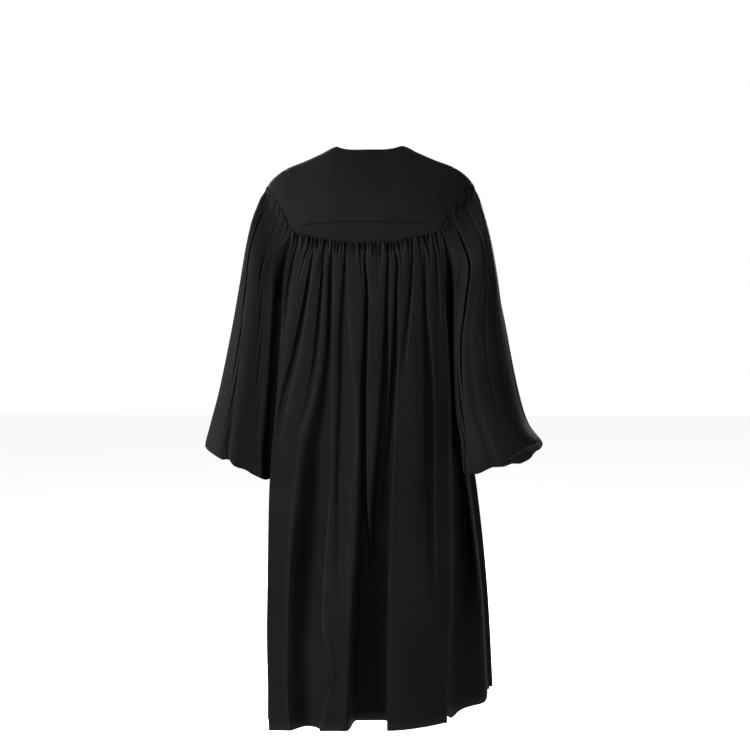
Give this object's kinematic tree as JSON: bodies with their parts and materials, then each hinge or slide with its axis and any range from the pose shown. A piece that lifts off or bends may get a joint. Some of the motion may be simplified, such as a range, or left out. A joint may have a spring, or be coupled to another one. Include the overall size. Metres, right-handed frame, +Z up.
{
  "type": "clergy robe",
  "caption": "Long black robe shown as worn: a gown gathered onto a fitted yoke, with full sleeves gathered into narrow cuffs and a plain V neck.",
  "frame": {"origin": "middle of the neck opening, level with the neck ends of the shoulder seams, where the wearer's shoulders hold the robe (mount shoulders)", "axes": "+Z up, +Y out of the robe's back, -Y out of its front, +X to the wearer's left"},
  "size_m": [0.7692, 0.4723, 1.2896],
  "materials": {
    "black_cloth": "matt black woven cloth with a faint sheen"
  },
  "bodies": {
    "root": {"yoke_back": "black_cloth", "yoke_back_band": "black_cloth", "yoke_side_left": "black_cloth", "yoke_side_right": "black_cloth", "body_back": "black_cloth", "body_front_left": "black_cloth", "body_front_right": "black_cloth", "sleeve_left": "black_cloth", "sleeve_right": "black_cloth", "cuff_left": "black_cloth", "cuff_right": "black_cloth"}
  },
  "joints": []
}
